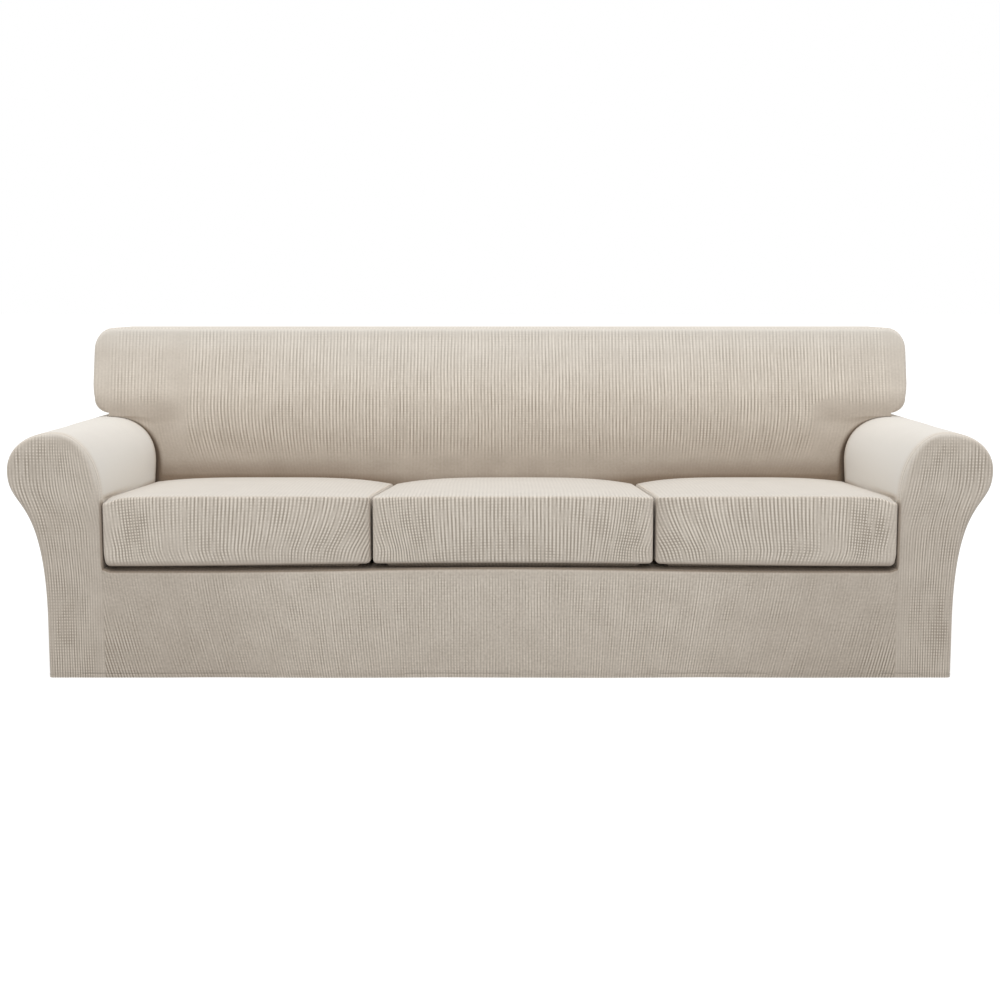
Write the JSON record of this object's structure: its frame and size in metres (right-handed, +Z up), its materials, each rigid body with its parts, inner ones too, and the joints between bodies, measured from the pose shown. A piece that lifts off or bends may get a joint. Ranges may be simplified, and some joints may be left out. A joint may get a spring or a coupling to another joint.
{
  "type": "sofa slipcover",
  "caption": "Stretch knit slipcover for a rolled-arm sofa: a fitted base cover with an eared back and a skirt to the floor, and separate seat cushion covers.",
  "frame": {"origin": "on the floor, under the middle of the cover's bounding box", "axes": "+X to the right of someone facing the sofa, +Y from its front to its rear, +Z up"},
  "size_m": [2.475, 0.8994, 0.874],
  "materials": {
    "knit_cloth": "matte"
  },
  "bodies": {
    "root": {"inside_back": "knit_cloth", "back_band": "knit_cloth", "outside_back": "knit_cloth", "arm_wrap_left": "knit_cloth", "arm_wrap_right": "knit_cloth", "arm_front_left": "knit_cloth", "arm_front_right": "knit_cloth", "seat_deck": "knit_cloth", "front_skirt": "knit_cloth", "cushion_top_left": "knit_cloth", "cushion_top_middle": "knit_cloth", "cushion_top_right": "knit_cloth", "cushion_band_left": "knit_cloth", "cushion_band_middle": "knit_cloth", "cushion_band_right": "knit_cloth"}
  },
  "joints": []
}
